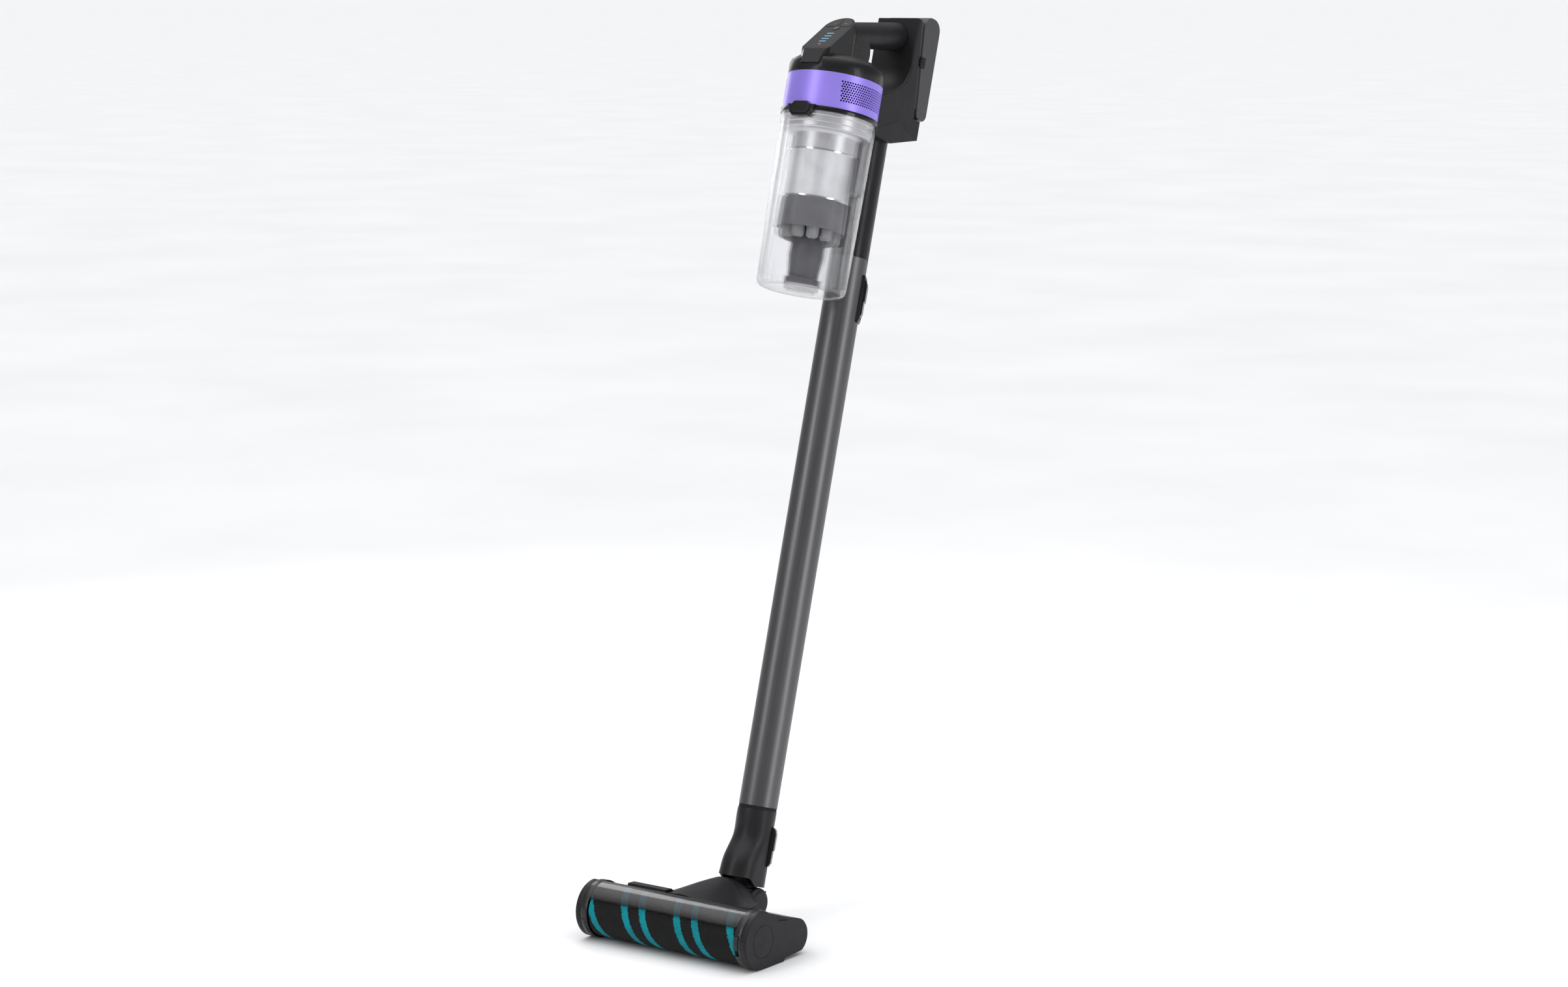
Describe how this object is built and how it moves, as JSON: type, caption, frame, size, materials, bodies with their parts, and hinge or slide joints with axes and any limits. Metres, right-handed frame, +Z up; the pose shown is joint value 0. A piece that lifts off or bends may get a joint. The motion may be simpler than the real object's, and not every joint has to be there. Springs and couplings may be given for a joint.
{
  "type": "cordless stick vacuum cleaner",
  "caption": "Upright cordless stick vacuum with soft-roller floor head, swivel neck, long tube, clear cyclone bin, ringed motor unit, slanted display console, loop grip and rear battery.",
  "frame": {"origin": "on the floor, in the middle of the flat sole strip under the floor head", "axes": "+Z up; -Y towards the roller, the dust bin and the console; +X to the object's right-hand side seen from behind; the stick leans back 16.2 degrees towards +Y"},
  "size_m": [0.25, 0.531, 1.073],
  "materials": {
    "head_black": "satin",
    "sole_plastic": "matte",
    "hood_black": "satin",
    "window_clear": "gloss",
    "end_plastic": "satin",
    "ring_grey": "satin",
    "latch_grey": "satin",
    "core_plastic": "matte",
    "plush": "soft",
    "pulley_plastic": "satin",
    "motor_steel": "satin",
    "belt_rubber": "matte",
    "wheel_rubber": "matte",
    "pin_steel": "satin",
    "knuckle_black": "satin",
    "trunk_black": "satin",
    "button_black": "gloss",
    "gasket": "matte",
    "tube_metal": "satin",
    "pipe_black": "satin",
    "bin_clear": "gloss",
    "rim_black": "gloss",
    "latch_black": "gloss",
    "collar_grey": "satin",
    "mesh_metal": "satin",
    "mesh_ring": "bright",
    "skirt_grey": "satin",
    "cone_grey": "satin",
    "dust_tube_grey": "satin",
    "casing_black": "matte",
    "band_purple": "satin",
    "filter_white": "pleated",
    "cap_black": "satin",
    "console_black": "gloss",
    "display_black": "gloss",
    "key_black": "gloss",
    "board_green": "matte",
    "grip_black": "satin",
    "housing_grey": "satin",
    "cover_grey": "satin",
    "battery_grey": "ribbed",
    "cell_sleeve": "gloss",
    "battery_key": "satin"
  },
  "bodies": {
    "handheld": {"swivel_bush": "pulley_plastic", "trunk": "trunk_black", "gasket_ring": "gasket", "extension_tube": "tube_metal", "tube_release_frame": "trunk_black", "suction_pipe": "pipe_black", "cyclone_collar": "collar_grey", "mesh_filter": "mesh_metal", "mesh_frame": "mesh_ring", "cyclone_skirt": "skirt_grey", "cyclone_cones": "cone_grey", "dust_tube": "dust_tube_grey", "inlet_duct": "skirt_grey", "motor_casing": "casing_black", "exhaust_band": "band_purple", "motor_can": "motor_steel", "motor_mount": "gasket", "exhaust_filter": "filter_white", "top_cap": "cap_black", "console_pod": "console_black", "display_panel": "display_black", "control_board": "board_green", "handle_grip": "grip_black", "rear_housing": "housing_grey", "lower_cover": "cover_grey"},
    "bin": {"bin_cup": "bin_clear", "bin_rim": "rim_black"},
    "bin_latch": {"bin_latch_button": "latch_black"},
    "rotor": {"motor_rotor": "pin_steel", "impeller": "core_plastic"},
    "power_key": {"power_button": "key_black"},
    "mode_key_left": {"mode_button_left": "key_black"},
    "mode_key_right": {"mode_button_right": "key_black"},
    "battery": {"battery_pack": "battery_grey", "battery_cells": "cell_sleeve"},
    "battery_key_left": {"battery_latch_left": "battery_key"},
    "battery_key_right": {"battery_latch_right": "battery_key"},
    "tube_key": {"tube_release_button": "button_black"},
    "brush_key": {"brush_release_button": "button_black"},
    "knuckle": {"neck_knuckle": "knuckle_black", "swivel_nut": "core_plastic"},
    "head": {"head_housing": "head_black", "head_base": "sole_plastic", "neck_hood": "hood_black", "roller_window": "window_clear", "end_cap_left": "end_plastic", "end_cap_right": "end_plastic", "end_ring_left": "ring_grey", "end_ring_right": "ring_grey", "drive_belt": "belt_rubber", "brush_motor": "motor_steel", "wheel_axles": "pin_steel", "tilt_pin": "pin_steel"},
    "roller": {"roller_core": "core_plastic", "roller_plush": "plush", "roller_pulley": "pulley_plastic"},
    "motor_drive": {"motor_pulley": "motor_steel"},
    "latch_tab": {"roller_latch": "latch_grey"},
    "wheel_l": {"wheel_left": "wheel_rubber"},
    "wheel_r": {"wheel_right": "wheel_rubber"}
  },
  "joints": [
    {"name": "neck_swivel", "type": "hinge", "parent": "handheld", "child": "knuckle", "pos_m": [0, 0.089, 0.033], "axis": [0, 0.279, 0.9603], "range_deg": [-90, 90]},
    {"name": "neck_tilt", "type": "hinge", "parent": "knuckle", "child": "head", "pos_m": [0, 0.089, 0.033], "axis": [1, 0, 0], "range_deg": [0, 65]},
    {"name": "roller_spin", "type": "hinge", "parent": "head", "child": "roller", "pos_m": [0, -0.038, 0.034], "axis": [1, 0, 0], "continuous": true},
    {"name": "motor_drive_spin", "type": "hinge", "parent": "head", "child": "motor_drive", "pos_m": [0, 0.024, 0.024], "axis": [1, 0, 0], "continuous": true},
    {"name": "wheel_left_spin", "type": "hinge", "parent": "head", "child": "wheel_l", "pos_m": [-0.084, 0.03, 0.008], "axis": [1, 0, 0], "continuous": true},
    {"name": "wheel_right_spin", "type": "hinge", "parent": "head", "child": "wheel_r", "pos_m": [0.084, 0.03, 0.008], "axis": [1, 0, 0], "continuous": true},
    {"name": "roller_latch_turn", "type": "hinge", "parent": "head", "child": "latch_tab", "pos_m": [0.1125, -0.038, 0.034], "axis": [1, 0, 0], "range_deg": [0, 12], "stiffness_Nm_per_rad": 0.2},
    {"name": "motor_rotor_spin", "type": "hinge", "parent": "handheld", "child": "rotor", "pos_m": [0, 0.26786, 0.96407], "axis": [0, 0.279, 0.9603], "continuous": true},
    {"name": "bin_slide", "type": "slide", "parent": "handheld", "child": "bin", "axis": [0, -0.279, -0.9603], "range_m": [0, 0.22]},
    {"name": "bin_latch_press", "type": "slide", "parent": "bin", "child": "bin_latch", "axis": [0, 0.9603, -0.279], "range_m": [0, 0.001], "stiffness_N_per_m": 400},
    {"name": "power_key_press", "type": "slide", "parent": "handheld", "child": "power_key", "axis": [0, 0.4626, -0.8866], "range_m": [0, 0.001], "stiffness_N_per_m": 400},
    {"name": "mode_key_left_press", "type": "slide", "parent": "handheld", "child": "mode_key_left", "axis": [0, 0.4626, -0.8866], "range_m": [0, 0.001], "stiffness_N_per_m": 400},
    {"name": "mode_key_right_press", "type": "slide", "parent": "handheld", "child": "mode_key_right", "axis": [0, 0.4626, -0.8866], "range_m": [0, 0.001], "stiffness_N_per_m": 400},
    {"name": "battery_slide", "type": "slide", "parent": "handheld", "child": "battery", "axis": [0, 0.9603, -0.279], "range_m": [0, 0.06]},
    {"name": "battery_key_left_press", "type": "slide", "parent": "battery", "child": "battery_key_left", "axis": [1, 0, 0], "range_m": [0, 0.0012], "stiffness_N_per_m": 400},
    {"name": "battery_key_right_press", "type": "slide", "parent": "battery", "child": "battery_key_right", "axis": [-1, 0, 0], "range_m": [0, 0.0012], "stiffness_N_per_m": 400},
    {"name": "tube_key_press", "type": "slide", "parent": "handheld", "child": "tube_key", "axis": [-0.8829, -0.4508, 0.131], "range_m": [0, 0.0015], "stiffness_N_per_m": 400},
    {"name": "brush_key_press", "type": "slide", "parent": "handheld", "child": "brush_key", "axis": [-0.8829, -0.4508, 0.131], "range_m": [0, 0.0015], "stiffness_N_per_m": 400}
  ],
  "couplings": [
    {"joint": "motor_drive_spin", "follows": "roller_spin", "ratio": 2}
  ]
}
